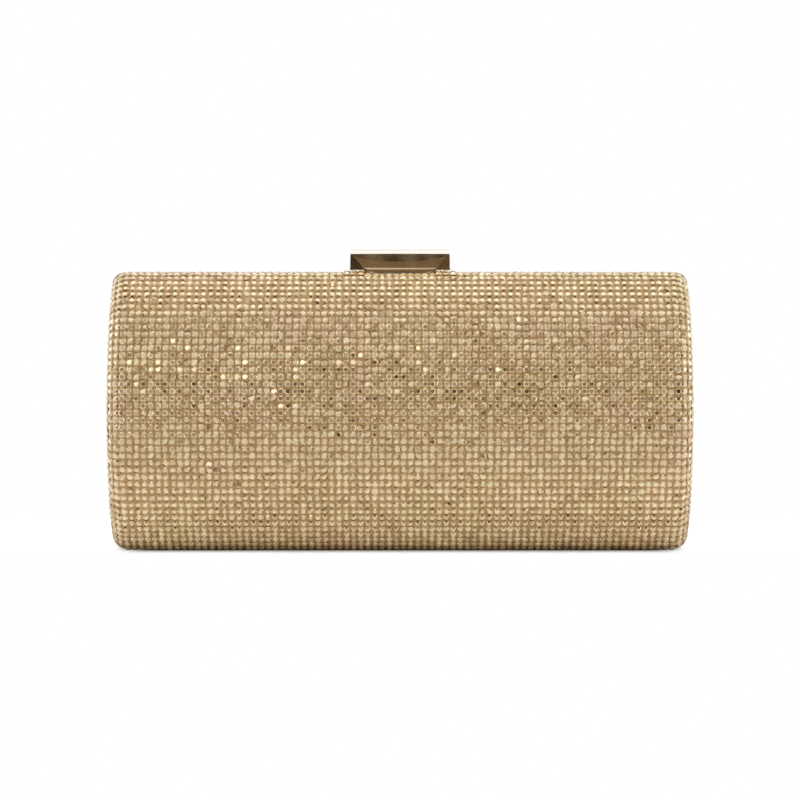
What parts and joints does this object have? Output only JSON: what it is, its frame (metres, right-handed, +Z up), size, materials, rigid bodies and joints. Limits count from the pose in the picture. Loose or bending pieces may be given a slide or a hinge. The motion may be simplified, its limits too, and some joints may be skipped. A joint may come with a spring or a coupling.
{
  "type": "minaudiere",
  "caption": "Hard-case evening clutch with a pillow-shaped crystal-mesh skin, two halves hinged in the base, plated channel rims, satin lining and a tilting bar clasp on top",
  "frame": {"origin": "centre of the base, on the surface that the case stands on", "axes": "+X along the width, -Y out of the front, +Z up towards the clasp"},
  "size_m": [0.212, 0.054, 0.1091],
  "materials": {
    "crystal_mesh": "champagne-gold mesh set with cut glass stones",
    "gold_plate": "polished light-gold plate",
    "shell": "moulded, unpainted",
    "lining_card": "plain board",
    "satin": "champagne satin weave",
    "satin_binding": "ribbed ribbon",
    "spring_steel": "bright drawn steel"
  },
  "bodies": {
    "back": {"back_crystal_mesh": "crystal_mesh", "back_shell": "shell", "back_rim": "gold_plate", "back_lining_card": "lining_card", "back_lining_satin": "satin", "slip_pocket": "satin", "pocket_binding": "satin_binding", "back_hinge_leaf_left": "gold_plate", "back_hinge_leaf_right": "gold_plate", "back_hinge_rivets": "gold_plate", "hinge_pin_left": "spring_steel", "hinge_pin_right": "spring_steel", "chain_eye_left": "gold_plate", "chain_eye_right": "gold_plate", "clasp_base": "gold_plate", "clasp_screws": "spring_steel", "clasp_spring": "spring_steel"},
    "front": {"front_crystal_mesh": "crystal_mesh", "front_shell": "shell", "front_rim": "gold_plate", "front_lining_card": "lining_card", "front_lining_satin": "satin", "front_hinge_leaf_left": "gold_plate", "front_hinge_leaf_right": "gold_plate", "front_hinge_rivets": "gold_plate", "catch_plate": "gold_plate", "catch_leaf": "spring_steel", "catch_rivets": "gold_plate"},
    "clasp": {"clasp_bar": "gold_plate", "clasp_pin": "spring_steel"}
  },
  "joints": [
    {"name": "front_open", "type": "hinge", "parent": "back", "child": "front", "pos_m": [0, 0, 0.0013], "axis": [1, 0, 0], "range_deg": [0, 100], "deforming": ["catch_leaf"]},
    {"name": "clasp_tilt", "type": "hinge", "parent": "back", "child": "clasp", "pos_m": [0, 0.00255, 0.104], "axis": [-1, 0, 0], "range_deg": [0, 15], "stiffness_Nm_per_rad": 0.02, "springref_deg": -17.19, "deforming": ["clasp_spring"]}
  ]
}
